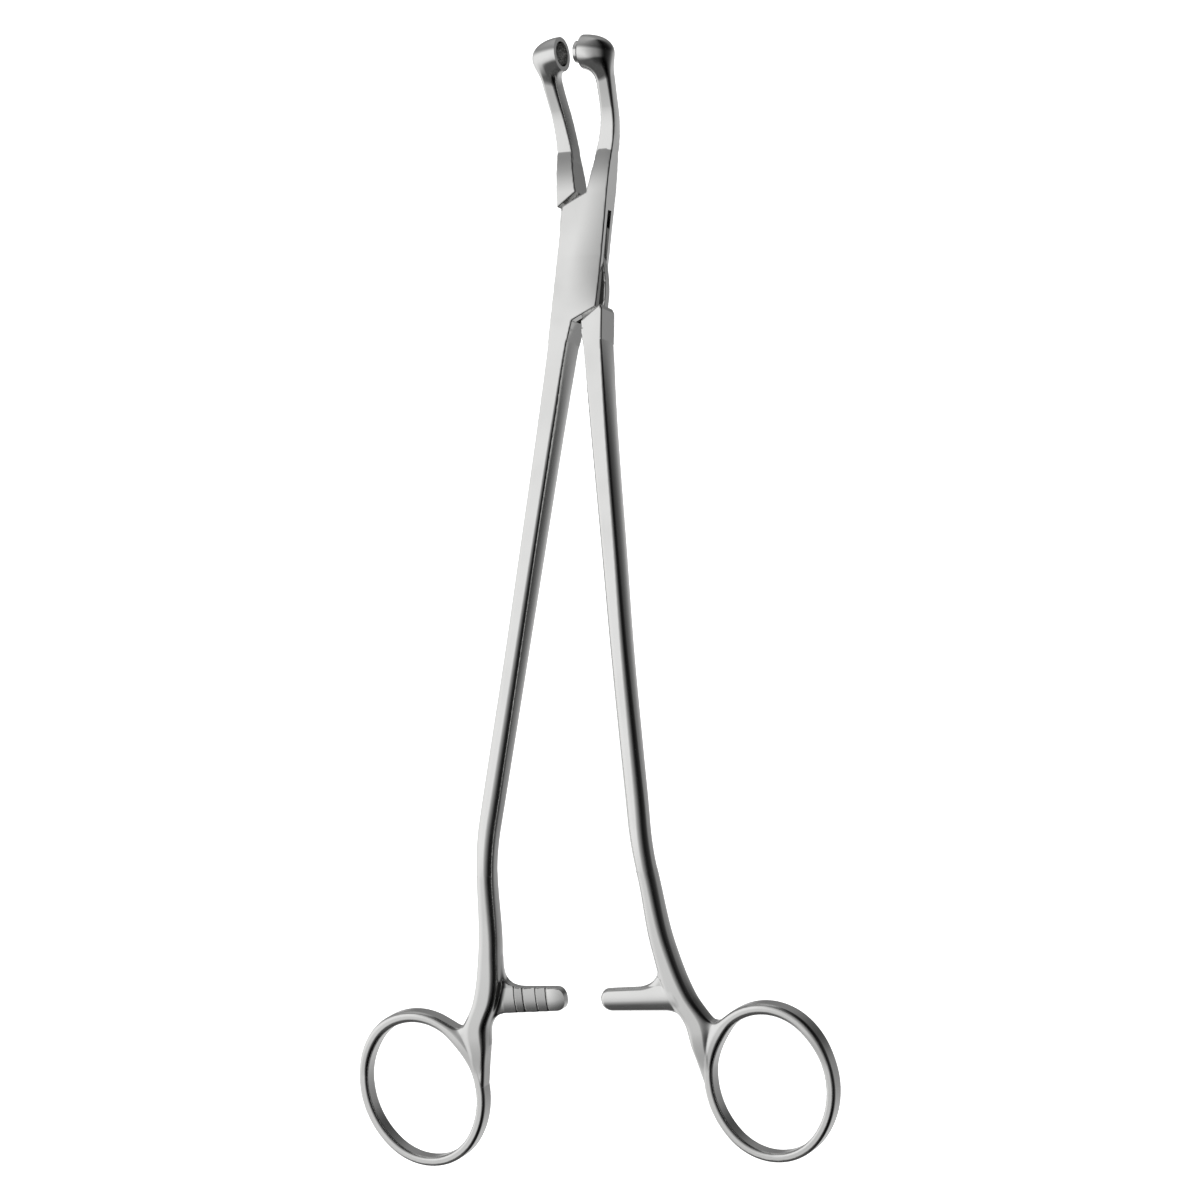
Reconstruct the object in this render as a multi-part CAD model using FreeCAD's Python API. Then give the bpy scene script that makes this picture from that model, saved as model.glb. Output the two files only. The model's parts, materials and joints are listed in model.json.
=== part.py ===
import FreeCAD, Part
import math
import os

# Ring-handled biopsy punch forceps with a box lock, lying on its back.
# Everything is drawn about the lock pin, +Y to the jaws and +Z out of the front face,
# and is then laid down on the finger rings and the back of the jaw roots.

Vec = FreeCAD.Vector

# Travel between the pose drawn here and fully closed, in degrees
close_angle = 7.0

# How far cutting shapes run past the surfaces they cut
cut_overrun = 1.0
slot_overrun = 20.0

# Lock
lock_thickness = 5.4
tongue_thickness = 1.7
slot_clearance = 0.06
box_half_width = 4.55
box_lean = 0.085
cheek_short = 9.9
cheek_long = 12.3
cheek_inner_x = 0.9
slot_end_y = 8.7
shoulder_outer_x = 4.95
shoulder_lower_x = 5.4
shoulder_lower_y = 10.4
shoulder_outer_y = 9.6
shoulder_inner_x = 1.06
shoulder_inner_y = 12.5
tongue_waist_x = 3.9
tongue_waist_y = 6.0
tongue_bulge_x = 5.45
tongue_bulge_y = 6.0
pin_diameter = 2.6
pin_running_clearance = 0.03

# Jaws, from the root at the lock to the round heads
jaw_root_x = 3.95
jaw_root_y = 19.0
jaw_root_width = 3.3
jaw_root_ease = 0.1
jaw_waist_x = 5.22
jaw_waist_width = 2.65
jaw_waist_depth = 3.7
jaw_waist_ease = 0.35
jaw_waist_share = 0.45
jaw_neck_x = 5.85
jaw_neck_width = 3.4
jaw_neck_depth = 4.1
jaw_neck_ease = 0.6
tip_bend_start = 20.5
tip_bend_angle = 30.0
tip_bend_radius = 17.0
head_y = 38.1
jaw_section_count = 6

# Round heads with the cup and the punch
head_radius = 3.25
head_length = 5.55
head_collar = 0.5
closed_face_gap = 0.12
cup_radius = 2.4
cup_depth = 3.6
cup_floor_ease = 1.1
punch_radius = 2.1
punch_disc_thickness = 0.65
punch_neck_radius = 1.85
punch_reach = 1.5
punch_stem_radius = 1.2
punch_stem_length = 3.6
dowel_diameter = 1.2
dowel_offset = 2.2
dowel_bite = 0.3

# Shanks, from the lock to the rings
shank_root_x = 3.65
shank_root_shift = 0.15
shank_root_y = 16.3
shank_root_width = 4.1
shank_root_ease = 0.1
shank_neck_along = 14.0
shank_neck_inset = 0.15
shank_neck_width = 4.3
shank_neck_depth = 5.1
shank_neck_ease = 0.3
shank_middle_along = 60.0
shank_middle_inset = 0.33
shank_middle_width = 3.9
shank_middle_depth = 4.5
shank_middle_ease = 0.7
shank_straight = 91.0
shank_spread = 0.1325
wrist_start_inset = 0.75
wrist_start_width = 3.85
wrist_end_outset = 0.45
wrist_end_width = 3.55
wrist_shift = 0.25
wrist_depth = 4.2
wrist_ease = 1.1
handle_depth = 4.4
handle_ease = 1.0
handle_lift = 0.7
swell_share = 0.6
swell_out_share = 0.44
swell_width = 4.1
arm_root_width = 4.8
knee_share = 0.3
knee_out_share = 0.73
knee_width = 4.6
heel_share = 0.6
heel_out_share = 0.82
heel_width = 2.95
upper_section_count = 5
lower_section_count = 9
handle_bend_angle = 22.0
handle_bend_radius = 25.0

# Finger rings
ring_x = 36.5
ring_drop = 45.1
ring_outer_length = 30.2
ring_outer_width = 26.6
ring_band = 1.82
ring_depth = 3.4
ring_ease = 0.5
ring_tilt = 3.0
ring_end_share = 0.91
crotch_drop = 33.4
crotch_x = 26.2
crotch_radius = 1.7
crotch_block_radius = 2.1
crotch_bite = 0.3
crotch_depth_share = 0.8

# Ratchet arms
arm_drop = 28.5
rear_arm_lower = 0.2
arm_height = 4.9
arm_tip_height = 4.4
arm_thickness = 2.15
arm_tip_x = 4.4
arm_split = 0.45
arm_upper_fillet = 3.6
arm_upper_knee_x = 17.2
arm_lower_fillet = 1.4
arm_lower_knee_x = 20.2
arm_outset = 4.2
arm_tip_radius = 1.6
tooth_pitch = 2.3
tooth_depth = 0.7
tooth_count = 4
tooth_engaged_gap = 0.1


def tilted_point(x, y, z, tilt, across, through):
    # A point of a cross-section whose plane is turned about X by the tilt in degrees
    turn = math.radians(tilt)
    return Vec(x + across, y - through * math.sin(turn), z + through * math.cos(turn))


def eased_corners(width, depth, ease):
    # The eight corners of a bar's section, its four edges cut off at 45 degrees
    side = width / 2
    face = depth / 2
    corners = []
    for across, through in ((1, 1), (-1, 1), (-1, -1), (1, -1)):
        pair = [(across * side, through * (face - ease)), (across * (side - ease), through * face)]
        corners += pair if across == through else pair[::-1]
    return corners


def section(x, y, z, tilt, width, depth, ease):
    points = [tilted_point(x, y, z, tilt, *corner) for corner in eased_corners(width, depth, ease)]
    return Part.makePolygon(points + points[:1])


def blend(low, high, share):
    return low + (high - low) * share


def between(stations, along):
    # Straight-line values at a length along, from stations whose first value is their own length along
    for low, high in zip(stations, stations[1:]):
        if along <= high[0] or high is stations[-1]:
            share = (along - low[0]) / (high[0] - low[0])
            return [blend(a, b, share) for a, b in zip(low[1:], high[1:])]


def bend_path(start_y, radius, angle, along):
    # Place and tilt at a length along a line that starts straight and bends in one arc
    turn = min(max(along / radius, 0.0), math.radians(angle))
    rest = along - radius * turn
    reach = radius * math.sin(turn) + rest * math.cos(turn)
    rise = radius * (1 - math.cos(turn)) + rest * math.sin(turn)
    return start_y + reach, rise, math.degrees(turn)


def slab(points, low, high):
    wire = Part.makePolygon([Vec(x, y, low) for x, y in points + points[:1]])
    return Part.Face(wire).extrude(Vec(0, 0, high - low))


# Head: an egg-shaped solid turned about its own axis, flat on the face that meets the other jaw
def head_frame(side):
    face_x = head_y * math.tan(math.radians(close_angle / 2)) + closed_face_gap / 2
    y, z = bend_path(tip_bend_start, tip_bend_radius, tip_bend_angle, head_along())[:2]
    turn = -side * close_angle / 2
    rotation = FreeCAD.Rotation(Vec(0, 0, 1), turn if side > 0 else 180 + turn)
    return FreeCAD.Placement(Vec(side * face_x, y, z), rotation)


def head_along():
    turn = math.radians(tip_bend_angle)
    arc_reach = tip_bend_radius * math.sin(turn)
    return tip_bend_radius * turn + (head_y - tip_bend_start - arc_reach) / math.cos(turn)


def head_blank():
    dome = Part.ArcOfEllipse(
        Part.Ellipse(Vec(head_collar, 0, 0), head_length - head_collar, head_radius), 0, math.pi / 2)
    top = Vec(head_collar, head_radius, 0)
    edges = [dome.toShape(),
             Part.LineSegment(top, Vec(0, head_radius, 0)).toShape(),
             Part.LineSegment(Vec(0, head_radius, 0), Vec(0, 0, 0)).toShape(),
             Part.LineSegment(Vec(0, 0, 0), Vec(head_length, 0, 0)).toShape()]
    return Part.Face(Part.Wire(Part.__sortEdges__(edges))).revolve(Vec(0, 0, 0), Vec(1, 0, 0), 360)


def cup_hollow():
    bore = Part.makeCylinder(cup_radius, cup_depth + cut_overrun, Vec(-cut_overrun, 0, 0), Vec(1, 0, 0))
    floor_edge = [edge for edge in bore.Edges
                  if abs(edge.BoundBox.XMin - cup_depth) < 1e-3 and edge.BoundBox.XLength < 1e-3]
    return bore.makeChamfer(cup_floor_ease, floor_edge)


def jaw(side):
    # Share of the way to the head, centre line, width, depth and how far the edges are eased
    spots = [(0.0, jaw_root_x, jaw_root_width, lock_thickness, jaw_root_ease),
             (jaw_waist_share, jaw_waist_x, jaw_waist_width, jaw_waist_depth, jaw_waist_ease),
             (1.0, jaw_neck_x, jaw_neck_width, jaw_neck_depth, jaw_neck_ease)]
    stations = [section(side * jaw_root_x, jaw_root_y, 0, 0, jaw_root_width, lock_thickness, jaw_root_ease)]
    for index in range(1, jaw_section_count):
        share = index / (jaw_section_count - 1)
        y, z, tilt = bend_path(tip_bend_start, tip_bend_radius, tip_bend_angle,
                               blend(jaw_root_y - tip_bend_start, head_along(), share))
        x, width, depth, ease = between(spots, share)
        stations.append(section(side * x, y, z, tilt, width, depth, ease))
    return Part.makeLoft(stations, True, False, False, 3)


# Shank and handle
def shank_spot(along):
    y, z, tilt = bend_path(shank_root_y + shank_straight, handle_bend_radius, handle_bend_angle,
                           along - shank_straight)
    return -y, -z, tilt


def handle_origin():
    # Length along the straight shank at which it would meet the straight handle
    return shank_straight + handle_bend_radius * math.tan(math.radians(handle_bend_angle / 2))


def bend_sag():
    # How much shorter the bend is than its two straight tangents
    turn = math.radians(handle_bend_angle)
    return handle_bend_radius * (2 * math.tan(turn / 2) - turn)


def shank(side):
    bend_end = shank_straight + handle_bend_radius * math.radians(handle_bend_angle)
    root_x = shank_root_x - side * shank_root_shift
    wrist_x = shank_root_x + shank_spread * handle_origin()
    arm_x = wrist_x + arm_outset
    limb_x = ring_x - ring_outer_width / 2 + ring_band / 2
    # Lengths along the shank at the arm and at the ring's widest place
    arm_along, ring_along = [drop + handle_origin() - bend_sag() for drop in (arm_drop, ring_drop)]
    # Length along, centre line, width, depth and how far the edges are eased
    upper = [
        (0.0, root_x, shank_root_width, lock_thickness, shank_root_ease),
        (shank_neck_along, root_x + shank_neck_along * shank_spread - shank_neck_inset,
         shank_neck_width, shank_neck_depth, shank_neck_ease),
        (shank_middle_along, shank_root_x + shank_middle_along * shank_spread - shank_middle_inset,
         shank_middle_width, shank_middle_depth, shank_middle_ease),
        (shank_straight, wrist_x - wrist_start_inset + side * wrist_shift,
         wrist_start_width, wrist_depth, wrist_ease),
    ]
    lower = [
        upper[-1],
        (bend_end, wrist_x + wrist_end_outset + side * wrist_shift,
         wrist_end_width, wrist_depth, wrist_ease),
        (blend(bend_end, arm_along, swell_share), blend(wrist_x, arm_x, swell_out_share),
         swell_width, handle_depth, handle_ease),
        (arm_along, arm_x, arm_root_width, handle_depth, handle_ease),
        (blend(arm_along, ring_along, knee_share), blend(arm_x, limb_x, knee_out_share),
         knee_width, handle_depth, handle_ease),
        (blend(arm_along, ring_along, heel_share), blend(arm_x, limb_x, heel_out_share),
         heel_width, handle_depth, handle_ease),
        (ring_along, limb_x, ring_band, ring_depth, ring_ease),
    ]
    lofts = []
    for stations, count in ((upper, upper_section_count), (lower, lower_section_count)):
        wires = []
        for index in range(count):
            along = blend(stations[0][0], stations[-1][0], index / (count - 1))
            x, width, depth, ease = between(stations, along)
            y, z, tilt = shank_spot(along)
            centre = tilted_point(0, y, z, tilt, 0, (lock_thickness - depth) / 2)
            wires.append(section(side * x, centre.y, centre.z, tilt, width, depth, ease))
        lofts.append(Part.makeLoft(wires, True, False, False, 3))
    return lofts


def handle_placement():
    # The plane of the rings and ratchet arms: X across, Y down the handle, Z out of its back
    y, z = shank_spot(shank_straight + handle_bend_radius * math.radians(handle_bend_angle))[:2]
    turn = math.radians(handle_bend_angle)
    run = handle_bend_radius * math.tan(turn / 2)
    corner = Vec(0, y + run * math.cos(turn), z + run * math.sin(turn))
    corner = corner + Vec(0, -handle_lift * math.sin(turn), handle_lift * math.cos(turn))
    down = Vec(0, -math.cos(turn), -math.sin(turn))
    back = Vec(0, math.sin(turn), -math.cos(turn))
    return FreeCAD.Placement(corner, FreeCAD.Rotation(Vec(1, 0, 0), down, back, "ZXY"))


def ring(side):
    # An oval of four tangent arcs, two round the ends and two along the sides
    half_length = (ring_outer_length - ring_band) / 2
    half_width = (ring_outer_width - ring_band) / 2
    end_radius = ring_end_share * half_width
    side_radius = half_length ** 2 + half_width ** 2 - 2 * half_length * end_radius
    side_radius = side_radius / (2 * (half_width - end_radius))
    join = math.degrees(math.atan2(half_length - end_radius, side_radius - half_width))
    bows = []
    for start in (0, 180):
        pieces = [(Vec(half_width - side_radius, 0, 0), side_radius, -join, 2 * join),
                  (Vec(0, half_length - end_radius, 0), end_radius, join, 180 - 2 * join)]
        for centre, radius, begin, span in pieces:
            points = [Vec(radius + a, 0, b) for a, b in eased_corners(ring_band, ring_depth, ring_ease)]
            face = Part.Face(Part.makePolygon(points + points[:1]))
            face.rotate(Vec(0, 0, 0), Vec(0, 0, 1), begin)
            face.translate(centre)
            bow = face.revolve(centre, Vec(0, 0, 1), span)
            bow.rotate(Vec(0, 0, 0), Vec(0, 0, 1), start)
            bows.append(bow)
    band = joined(bows)
    band.rotate(Vec(0, 0, 0), Vec(0, 0, 1), side * ring_tilt)
    band.translate(Vec(side * ring_x, ring_drop, 0))
    return band.removeSplitter().transformed(handle_placement().toMatrix())


def arm_edge(root_x, knee, fillet, low):
    # Upper edge of an arm from its root to its tip, with a fillet at the root and a rounded tip
    near = arm_height / 2
    far = arm_tip_height / 2
    curve = 1 - math.sqrt(0.5)
    a = Vec(root_x, -near - fillet, low)
    b = Vec(knee, -near - fillet, low)
    c = Vec(knee - fillet, -near, low)
    d = Vec(arm_tip_x + arm_tip_radius, -far, low)
    e = Vec(arm_tip_x, -far + arm_tip_radius, low)
    bow = Vec(knee - fillet * curve, -near - fillet * curve, low)
    tip = Vec(arm_tip_x + arm_tip_radius * curve, -far + arm_tip_radius * curve, low)
    edges = [Part.LineSegment(a, b), Part.Arc(b, bow, c), Part.LineSegment(c, d), Part.Arc(d, tip, e)]
    return a, e, [edge.toShape() for edge in edges]


def ratchet_arm(side):
    # The box half's arm lies behind the parting plane and the tongue half's arm in front of it
    root_x = shank_root_x + shank_spread * handle_origin() + arm_outset
    low = arm_split / 2 if side < 0 else -arm_split / 2 - arm_thickness
    a, e, upper = arm_edge(root_x, arm_upper_knee_x, arm_upper_fillet, low)
    b, f, lower = arm_edge(root_x, arm_lower_knee_x, arm_lower_fillet, low)
    lower = Part.Wire(lower).mirror(Vec(0, 0, 0), Vec(0, 1, 0)).Edges
    tip = Part.LineSegment(e, Vec(f.x, -f.y, low)).toShape()
    root = Part.LineSegment(Vec(b.x, -b.y, low), a).toShape()
    outline = Part.Wire(Part.__sortEdges__(upper + [tip] + lower + [root]))
    arm = Part.Face(outline).extrude(Vec(0, 0, arm_thickness))
    arm = arm.cut(tooth_gaps(side, low))
    if side < 0:
        arm = arm.mirror(Vec(0, 0, 0), Vec(1, 0, 0))
    arm.translate(Vec(0, arm_drop + (rear_arm_lower if side < 0 else 0), 0))
    return arm.transformed(handle_placement().toMatrix())


def crotch_web(side):
    # Fills the fork between handle and ring, hollowed by a fillet at its top
    depth = handle_depth * crotch_depth_share
    block = Part.makeCylinder(crotch_block_radius, depth,
                              Vec(crotch_x, crotch_drop + crotch_block_radius - crotch_bite, -depth / 2))
    fork = Part.makeCylinder(crotch_radius, depth, Vec(crotch_x, crotch_drop - crotch_radius, -depth / 2))
    block = block.cut(fork)
    if side < 0:
        block = block.mirror(Vec(0, 0, 0), Vec(1, 0, 0))
    return block.transformed(handle_placement().toMatrix())


def tooth_gaps(side, low):
    # Teeth face the other arm: steep on the root side and sloping to the tip
    face = low if side < 0 else low + arm_thickness
    inward = 1 if side < 0 else -1
    reach = 2 * math.radians(close_angle) / 2 * (shank_root_y + handle_origin() + arm_drop)
    lead = (reach - 2 * arm_tip_x) / 2 + tooth_engaged_gap
    half = arm_height / 2 + cut_overrun
    gaps = []
    for index in range(tooth_count):
        peak = arm_tip_x + lead + index * tooth_pitch
        run = tooth_pitch if index else lead
        points = [Vec(peak - run, -half, face), Vec(peak, -half, face),
                  Vec(peak, -half, face + inward * tooth_depth)]
        wire = Part.makePolygon(points + points[:1])
        gaps.append(Part.Face(wire).extrude(Vec(0, 2 * half, 0)))
    return Part.makeCompound(gaps)


# Lock
def box_body():
    jaw_inner = jaw_root_x - jaw_root_width / 2
    jaw_outer = jaw_root_x + jaw_root_width / 2
    shank_inner = shank_root_x + shank_root_shift - shank_root_width / 2
    shank_outer = shank_root_x + shank_root_shift + shank_root_width / 2
    points = [(-box_half_width + box_lean * cheek_short, cheek_short),
              (cheek_inner_x, cheek_long),
              (jaw_inner, jaw_root_y),
              (jaw_outer, jaw_root_y),
              (box_half_width - box_lean * cheek_short, -cheek_short),
              (-cheek_inner_x, -cheek_long),
              (-shank_inner, -shank_root_y),
              (-shank_outer, -shank_root_y)]
    body = slab(points, -lock_thickness / 2, lock_thickness / 2)
    return body.cut(slot_space()).cut(pin_solid(pin_diameter / 2))


def slot_space():
    half = tongue_thickness / 2 + slot_clearance
    end_x = box_half_width + box_lean * slot_end_y
    far = slot_overrun
    slope = (cheek_long - slot_end_y) / (end_x - cheek_inner_x)
    points = [(cheek_inner_x, cheek_long), (cheek_inner_x - far, cheek_long),
              (-end_x - far, -slot_end_y + slope * far), (-end_x, -slot_end_y),
              (-cheek_inner_x, -cheek_long), (-cheek_inner_x + far, -cheek_long),
              (end_x + far, slot_end_y - slope * far), (end_x, slot_end_y)]
    return slab(points, -half, half)


def pin_solid(radius):
    return Part.makeCylinder(radius, lock_thickness, Vec(0, 0, -lock_thickness / 2))


def tongue_body():
    jaw_inner = jaw_root_x - jaw_root_width / 2
    jaw_outer = jaw_root_x + jaw_root_width / 2
    shank_inner = shank_root_x - shank_root_shift - shank_root_width / 2
    shank_outer = shank_root_x - shank_root_shift + shank_root_width / 2
    upper = [(-shoulder_outer_x, shoulder_outer_y), (-shoulder_inner_x, shoulder_inner_y),
             (-jaw_inner, jaw_root_y), (-jaw_outer, jaw_root_y)]
    lower = [(shoulder_outer_x, -shoulder_outer_y), (shoulder_inner_x, -shoulder_inner_y),
             (shank_inner, -shank_root_y), (shank_outer, -shank_root_y),
             (shoulder_lower_x, -shoulder_lower_y)]
    half = lock_thickness / 2
    body = slab(upper, -half, half).fuse(slab(lower, -half, half)).fuse(tongue_web())
    return body.cut(pin_solid(pin_diameter / 2 + pin_running_clearance))


def tongue_web():
    low = -tongue_thickness / 2
    outer = Vec(shoulder_outer_x, -shoulder_outer_y, low)
    bulge = Vec(tongue_bulge_x, -tongue_bulge_y, low)
    waist = Vec(tongue_waist_x, tongue_waist_y, low)
    top = Vec(-shoulder_inner_x, shoulder_inner_y, low)
    edges = []
    for sign in (1, -1):
        spots = [Vec(p.x * sign, p.y * sign, p.z) for p in (outer, bulge, waist, top)]
        edges.append(Part.Arc(spots[0], spots[1], spots[2]).toShape())
        edges.append(Part.LineSegment(spots[2], spots[3]).toShape())
        next_outer = Vec(-outer.x * sign, -outer.y * sign, low)
        edges.append(Part.LineSegment(spots[3], next_outer).toShape())
    return Part.Face(Part.Wire(Part.__sortEdges__(edges))).extrude(Vec(0, 0, tongue_thickness))


# Punch and its dowel
def punch_solid():
    disc = Part.makeCylinder(punch_radius, punch_disc_thickness, Vec(-punch_reach, 0, 0), Vec(1, 0, 0))
    neck = Part.makeCylinder(punch_neck_radius, punch_reach - punch_disc_thickness,
                             Vec(-punch_reach + punch_disc_thickness, 0, 0), Vec(1, 0, 0))
    return disc.fuse(neck).fuse(punch_stem()).cut(dowel_solid()).removeSplitter()


def punch_stem():
    return Part.makeCylinder(punch_stem_radius, punch_stem_length, Vec(0, 0, 0), Vec(1, 0, 0))


def dowel_solid():
    # Driven in from the top of the head and ground off flush with it
    rod = Part.makeCylinder(dowel_diameter / 2, head_radius + punch_stem_radius,
                            Vec(dowel_offset, -punch_stem_radius - dowel_bite, 0), Vec(0, 1, 0))
    return rod.common(head_blank())


def joined(shapes):
    # One solid, grown one piece at a time
    body = shapes[0]
    for shape in shapes[1:]:
        body = body.fuse(shape)
    return body


def box_half():
    place = head_frame(1).toMatrix()
    head = head_blank().transformed(place)
    body = joined([box_body(), jaw(1), head, *shank(-1), ring(-1), crotch_web(-1), ratchet_arm(-1)])
    seat = punch_stem().fuse(dowel_solid()).transformed(place)
    return body.cut(seat)


def tongue_half():
    place = head_frame(-1).toMatrix()
    head = head_blank().transformed(place)
    body = joined([tongue_body(), jaw(-1), head, *shank(1), ring(1), crotch_web(1), ratchet_arm(1)])
    return body.cut(cup_hollow().transformed(place))


def lying_placement(shapes):
    # Turn until the rings' ends and the back of the jaw roots touch the table, then centre the box
    ring_end = handle_placement().multVec(Vec(0, ring_drop + ring_outer_length / 2, ring_depth / 2))
    root = Vec(0, jaw_root_y, -lock_thickness / 2)
    turn = -math.degrees(math.atan2(root.z - ring_end.z, root.y - ring_end.y))
    placement = FreeCAD.Placement(Vec(0, 0, 0), FreeCAD.Rotation(Vec(1, 0, 0), turn))
    laid = Part.makeCompound([shape.transformed(placement.toMatrix()) for shape in shapes])
    box = laid.optimalBoundingBox(False)
    placement.Base = Vec(-box.Center.x, -box.Center.y, -box.ZMin)
    return placement


os.makedirs("parts", exist_ok=True)
head_place = head_frame(1).toMatrix()
pieces = {
    "box_half": box_half(),
    "tongue_half": tongue_half(),
    "lock_pin": pin_solid(pin_diameter / 2),
    "punch": punch_solid().transformed(head_place),
    "punch_dowel": dowel_solid().transformed(head_place),
}
lying = lying_placement(list(pieces.values()))
for name, shape in pieces.items():
    laid = shape.transformed(lying.toMatrix())
    laid = laid.Solids[0] if len(laid.Solids) == 1 else laid
    print(name, laid.isValid(), len(laid.Solids), round(laid.Volume, 1))
    laid.exportStep("parts/" + name + ".step")
print("pin centre", lying.multVec(Vec(0, 0, 0)))
print("pin axis", lying.Rotation.multVec(Vec(0, 0, 1)))
print("back face centre", lying.multVec(Vec(0, 0, -lock_thickness / 2)))
for side in (-1, 1):
    hole = lying.multVec(handle_placement().multVec(Vec(side * ring_x, ring_drop, 0)))
    print("ring centre", hole)
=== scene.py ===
import json
import math
import bmesh
import bpy
import numpy as np
from mathutils import Matrix, Vector


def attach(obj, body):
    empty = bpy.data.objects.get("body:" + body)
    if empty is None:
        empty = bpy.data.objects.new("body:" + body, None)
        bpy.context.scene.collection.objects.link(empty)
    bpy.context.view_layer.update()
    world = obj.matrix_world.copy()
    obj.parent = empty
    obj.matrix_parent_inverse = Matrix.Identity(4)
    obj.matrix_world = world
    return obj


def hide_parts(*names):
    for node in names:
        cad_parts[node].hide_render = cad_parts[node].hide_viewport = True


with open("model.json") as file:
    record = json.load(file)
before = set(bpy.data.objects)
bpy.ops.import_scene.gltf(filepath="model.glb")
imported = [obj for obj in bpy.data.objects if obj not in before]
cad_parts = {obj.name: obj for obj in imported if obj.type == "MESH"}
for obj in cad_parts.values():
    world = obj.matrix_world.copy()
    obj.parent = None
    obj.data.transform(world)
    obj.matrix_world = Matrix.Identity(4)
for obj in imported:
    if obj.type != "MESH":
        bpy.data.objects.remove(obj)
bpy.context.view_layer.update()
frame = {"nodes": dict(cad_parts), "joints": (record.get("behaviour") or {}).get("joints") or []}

# Ring-handled biopsy punch forceps in satin-polished stainless steel.
# Sizes are in millimetres about the lock pin: +Y to the jaws, +Z out of the front face.
mm = 0.001
hinge = frame["joints"][0]
lockPlace = Matrix.Translation(hinge["pos_m"]) @ Matrix.Rotation(-math.asin(hinge["axis"][1]), 4, "X")


def toLinear(hexColour):
    values = [int(hexColour[i:i + 2], 16) / 255 for i in (1, 3, 5)]
    return [v / 12.92 if v <= 0.04045 else ((v + 0.055) / 1.055) ** 2.4 for v in values] + [1]


def addNode(tree, kind, settings=None, **links):
    # settings names a node property or an input socket, links feed input sockets (underscores are spaces)
    node = tree.nodes.new(kind)
    for name, value in (settings or {}).items():
        if name in node.inputs:
            node.inputs[name].default_value = value
        else:
            setattr(node, name, value)
    for name, source in links.items():
        tree.links.new(source, node.inputs[name.replace("_", " ")])
    return node


def newMaterial(name):
    material = bpy.data.materials.new(name)
    material.use_nodes = True
    material.node_tree.nodes.clear()
    return material, material.node_tree


# Steel

satin = {"colour": "#E2E2E1", "roughness": 0.17, "grainMm": 0.45, "grainDepthMm": 0.002, "wear": 0.05}
ground = {"colour": "#E8E8E7", "roughness": 0.13, "grainMm": 0.3, "grainDepthMm": 0.001, "wear": 0.03}


def steel(name, finish):
    # Stainless steel polished with a fine flap wheel: soft-edged reflections and a faint grain,
    # drawn about four times coarser than the real scratches so that it shows
    material, tree = newMaterial(name)
    place = addNode(tree, "ShaderNodeTexCoord")
    stretch = addNode(tree, "ShaderNodeMapping", {"Scale": (1, 0.18, 1)}, Vector=place.outputs["Object"])
    grain = addNode(tree, "ShaderNodeTexNoise", {"Scale": 1 / (finish["grainMm"] * mm), "Detail": 3.0},
                    Vector=stretch.outputs["Vector"])
    cloud = addNode(tree, "ShaderNodeTexNoise", {"Scale": 1 / (9 * mm), "Detail": 2.0},
                    Vector=place.outputs["Object"])
    rough = addNode(tree, "ShaderNodeMapRange", {
        "From Min": 0.3, "From Max": 0.7,
        "To Min": finish["roughness"] - finish["wear"], "To Max": finish["roughness"] + finish["wear"]},
        Value=cloud.outputs["Fac"])
    bump = addNode(tree, "ShaderNodeBump", {"Strength": 0.35, "Distance": finish["grainDepthMm"] * mm},
                   Height=grain.outputs["Fac"])
    shader = addNode(tree, "ShaderNodeBsdfPrincipled", {
        "Base Color": toLinear(finish["colour"]), "Metallic": 1.0},
        Roughness=rough.outputs["Result"], Normal=bump.outputs["Normal"])
    addNode(tree, "ShaderNodeOutputMaterial", Surface=shader.outputs["BSDF"])
    return material


satinSteel = steel("satinPolishedStainlessSteel", satin)
groundSteel = steel("fineGroundStainlessSteel", ground)
for name, node in frame["nodes"].items():
    node.data.materials.clear()
    node.data.materials.append(groundSteel if name == "punch" else satinSteel)
print("steel done")


# Distances to simple forms, in millimetres, below zero inside

def smoothJoin(a, b, reach):
    # Union with a fillet about as wide as the reach
    near = np.maximum(reach - np.abs(a - b), 0) / reach
    return np.minimum(a, b) - near * near * reach / 4


def roundedBar(across, through, halfWidth, halfDepth, corner, bow=0.0):
    # The bow draws the sides in towards front and back
    halfWidth = halfWidth - bow * np.minimum(np.abs(through / halfDepth), 1.1) ** 2
    qa = np.abs(across) - (halfWidth - corner)
    qt = np.abs(through) - (halfDepth - corner)
    return np.hypot(np.maximum(qa, 0), np.maximum(qt, 0)) + np.minimum(np.maximum(qa, qt), 0) - corner


def outlineDistance(x, y, outline):
    nearest = np.full(x.shape, 1e9)
    sign = np.ones(x.shape)
    for (ax, ay), (bx, by) in zip(outline, outline[-1:] + outline[:-1]):
        ex, ey, wx, wy = bx - ax, by - ay, x - ax, y - ay
        share = np.clip((wx * ex + wy * ey) / (ex * ex + ey * ey), 0, 1)
        nearest = np.minimum(nearest, (wx - ex * share) ** 2 + (wy - ey * share) ** 2)
        above, below, left = y >= ay, y < by, ex * wy > ey * wx
        sign = np.where((above & below & left) | ~(above | below | left), -sign, sign)
    return sign * np.sqrt(nearest)


def plate(flat, through, half, edge):
    # Flat plate of any outline whose edges are eased to a small radius
    qa, qt = flat + edge, np.abs(through) - half + edge
    return np.hypot(np.maximum(qa, 0), np.maximum(qt, 0)) + np.minimum(np.maximum(qa, qt), 0) - edge


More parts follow.
